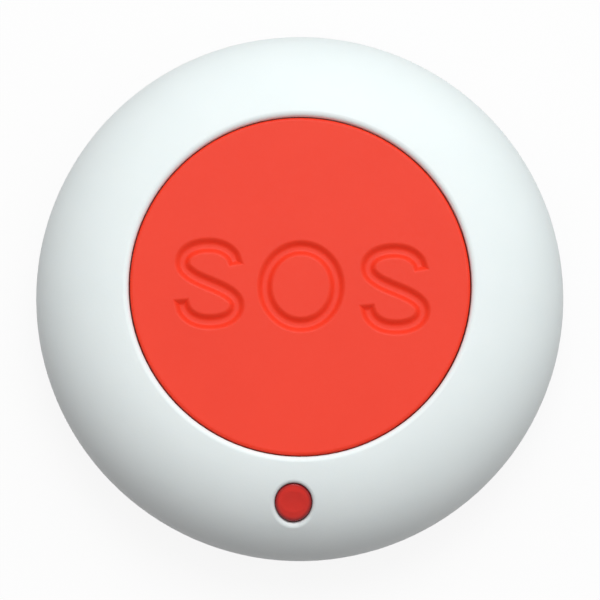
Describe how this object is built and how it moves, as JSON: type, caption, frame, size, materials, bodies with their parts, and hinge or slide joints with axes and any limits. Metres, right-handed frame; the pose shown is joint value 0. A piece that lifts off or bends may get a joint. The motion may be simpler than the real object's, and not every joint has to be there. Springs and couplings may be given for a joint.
{
  "type": "wireless panic button",
  "caption": "Round wireless panic button: a large red push cap set in a white two-part housing, with an indicator window and a coin-cell door in its back.",
  "frame": {"origin": "centre of the flat back face, on the axis of the cap", "axes": "+Z out of the back through the cap; +Y towards the top of the cap, away from the indicator window; +X to the right seen from the front"},
  "size_m": [0.056, 0.056, 0.0156],
  "materials": {
    "white_shell": null,
    "red_cap": null,
    "red_lens": null,
    "seal_rubber": null,
    "screw_steel": null,
    "spring_steel": null,
    "lamp_resin": null,
    "board_green": null,
    "black_plastic": null,
    "tinned_steel": null,
    "chip_resin": null,
    "component_ceramic": null,
    "copper_wire": null,
    "cell_steel": null
  },
  "bodies": {
    "housing": {"front_housing": "white_shell", "back_cover": "white_shell", "housing_seal": "seal_rubber", "housing_screws": "screw_steel", "return_spring": "spring_steel", "indicator_lens": "red_lens", "indicator_led": "lamp_resin", "circuit_board": "board_green", "board_screws": "screw_steel", "switch_base": "black_plastic", "switch_cover": "tinned_steel", "switch_terminals": "tinned_steel", "controller_chip": "chip_resin", "radio_chip": "chip_resin", "crystal_can": "tinned_steel", "chip_components": "component_ceramic", "aerial": "copper_wire", "coin_cell": "cell_steel", "battery_holder": "black_plastic", "battery_clip_negative": "spring_steel", "battery_clip_positive": "spring_steel"},
    "button": {"button_cap": "red_cap"},
    "switch_plunger": {"switch_plunger": "black_plastic"},
    "battery_door": {"battery_door": "white_shell", "door_seal": "seal_rubber"}
  },
  "joints": [
    {"name": "button_press", "type": "slide", "parent": "housing", "child": "button", "axis": [0, 0, -1], "range_m": [0, 0.0006], "stiffness_N_per_m": 300, "springref_m": -0.002, "deforming": ["return_spring"]},
    {"name": "plunger_press", "type": "slide", "parent": "housing", "child": "switch_plunger", "axis": [0, 0, -1], "range_m": [0, 0.0006]},
    {"name": "battery_door_turn", "type": "hinge", "parent": "housing", "child": "battery_door", "pos_m": [0, 0, 0], "axis": [0, 0, -1], "range_deg": [0, 40]}
  ],
  "couplings": [
    {"joint": "plunger_press", "follows": "button_press", "ratio": 1}
  ]
}
